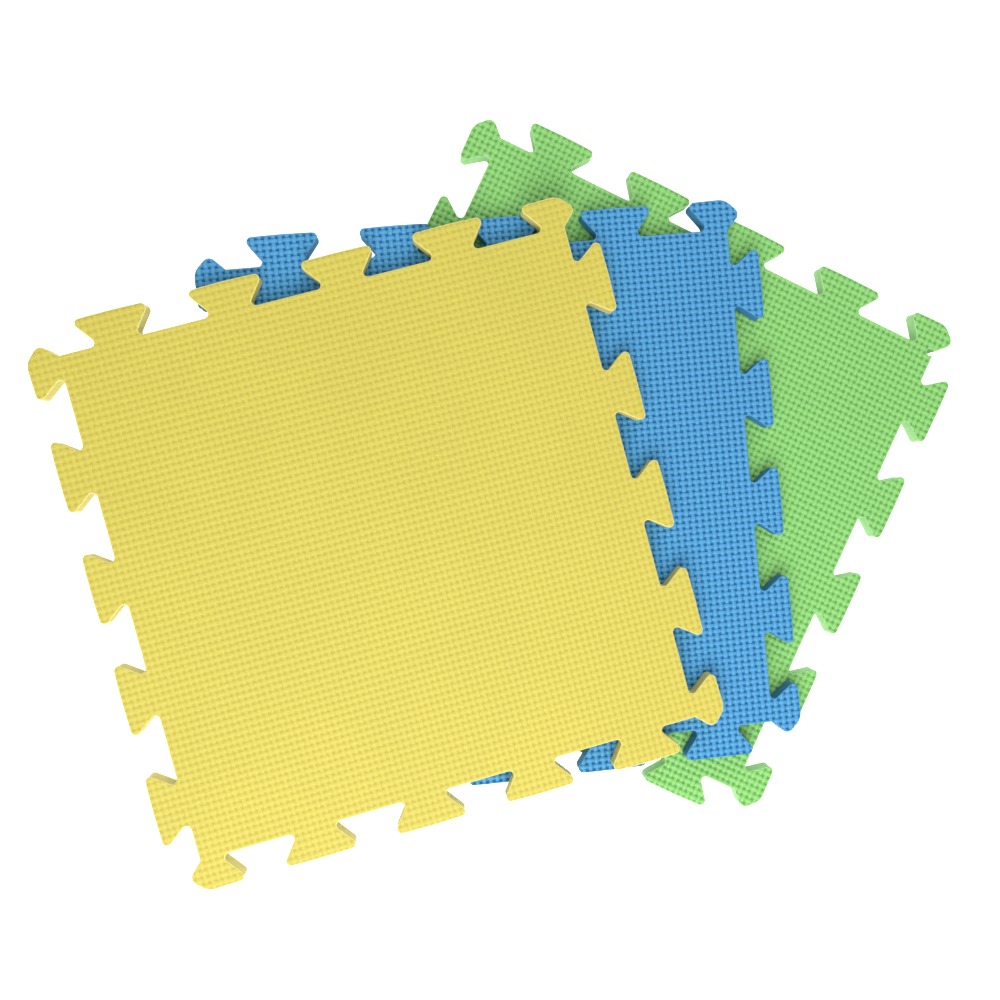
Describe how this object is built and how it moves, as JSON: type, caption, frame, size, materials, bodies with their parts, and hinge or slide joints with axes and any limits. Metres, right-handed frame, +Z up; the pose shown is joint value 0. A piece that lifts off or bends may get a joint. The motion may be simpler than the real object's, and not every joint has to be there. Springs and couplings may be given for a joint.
{
  "type": "blocking mats",
  "caption": "Pile of square interlocking foam mats with dovetail tabs all round and a pressed weave on top, for pinning knitted pieces out to dry.",
  "frame": {"origin": "on the floor, under the middle of the pile's bounding box", "axes": "+Z up, out of the work face; +X and +Y are the right and the far side of the pile as seen from above, with the top mat turned 15.2 degrees, the middle one 5.5 and the bottom one -25 about +Z"},
  "size_m": [0.5216, 0.4286, 0.0306],
  "materials": {
    "green_foam": "matt closed-cell EVA foam, pressed plain weave on the upper face, smooth cut edges",
    "blue_foam": "matt closed-cell EVA foam, pressed plain weave on the upper face, smooth cut edges",
    "yellow_foam": "matt closed-cell EVA foam, pressed plain weave on the upper face, smooth cut edges"
  },
  "bodies": {
    "bottom_mat": {"green_mat": "green_foam"},
    "middle_mat": {"blue_mat": "blue_foam"},
    "top_mat": {"yellow_mat": "yellow_foam"}
  },
  "joints": [
    {"name": "lift_middle_mat", "type": "slide", "parent": "bottom_mat", "child": "middle_mat", "axis": [0, 0, 1], "range_m": [0, 0.15]},
    {"name": "lift_top_mat", "type": "slide", "parent": "middle_mat", "child": "top_mat", "axis": [0, 0, 1], "range_m": [0, 0.15]}
  ]
}
